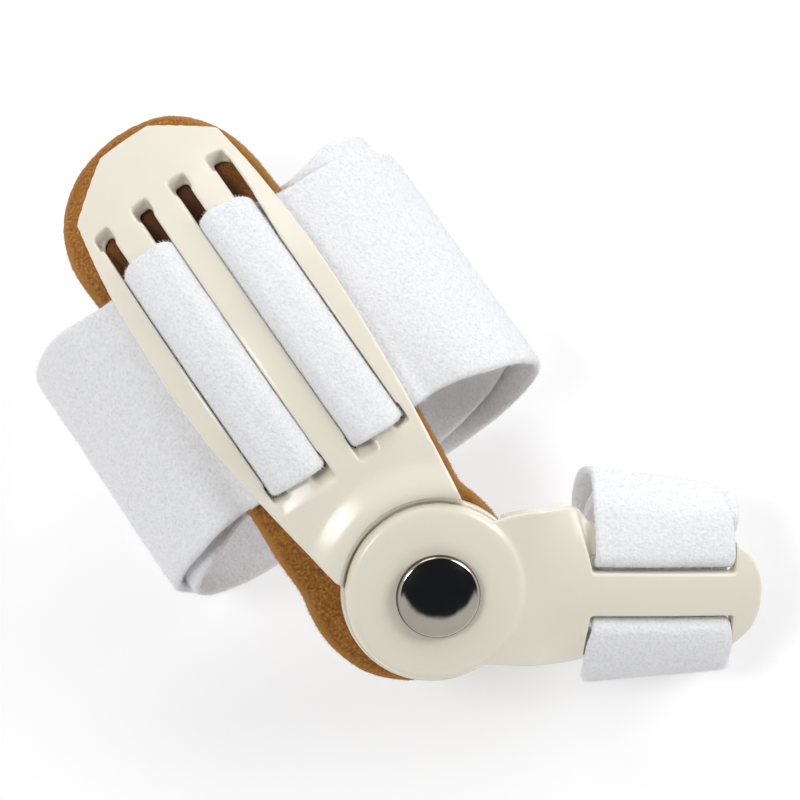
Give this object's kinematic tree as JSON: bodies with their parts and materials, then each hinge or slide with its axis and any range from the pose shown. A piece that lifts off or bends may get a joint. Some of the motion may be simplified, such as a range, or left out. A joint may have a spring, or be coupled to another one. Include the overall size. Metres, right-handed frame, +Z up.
{
  "type": "bunion splint",
  "caption": "Hinged bunion splint: an arched slotted foot plate on a felt pad and a short toe plate turn on a domed rivet, each carrying a soft white strap loop.",
  "frame": {"origin": "middle of the bounding box's underside, on the surface that the strap loops lie on", "axes": "+Z up, +X towards the toe plate's tip, +Y towards the foot plate's free end"},
  "size_m": [0.1376, 0.1076, 0.0615],
  "materials": {
    "ivory_plastic": "satin moulded plastic",
    "polished_steel": "polished domed cap",
    "tan_felt": "dense brushed felt",
    "white_plush": "short brushed loop pile"
  },
  "bodies": {
    "foot": {"foot_plate": "ivory_plastic", "hinge_rivet": "polished_steel", "foot_pad": "tan_felt", "foot_strap": "white_plush"},
    "toe": {"toe_plate": "ivory_plastic", "toe_strap": "white_plush"}
  },
  "joints": [
    {"name": "toe_hinge", "type": "hinge", "parent": "foot", "child": "toe", "pos_m": [0.00916, -0.03682, 0.03997], "axis": [0.2469, -0.366, 0.8973], "range_deg": [-128, 23]}
  ]
}
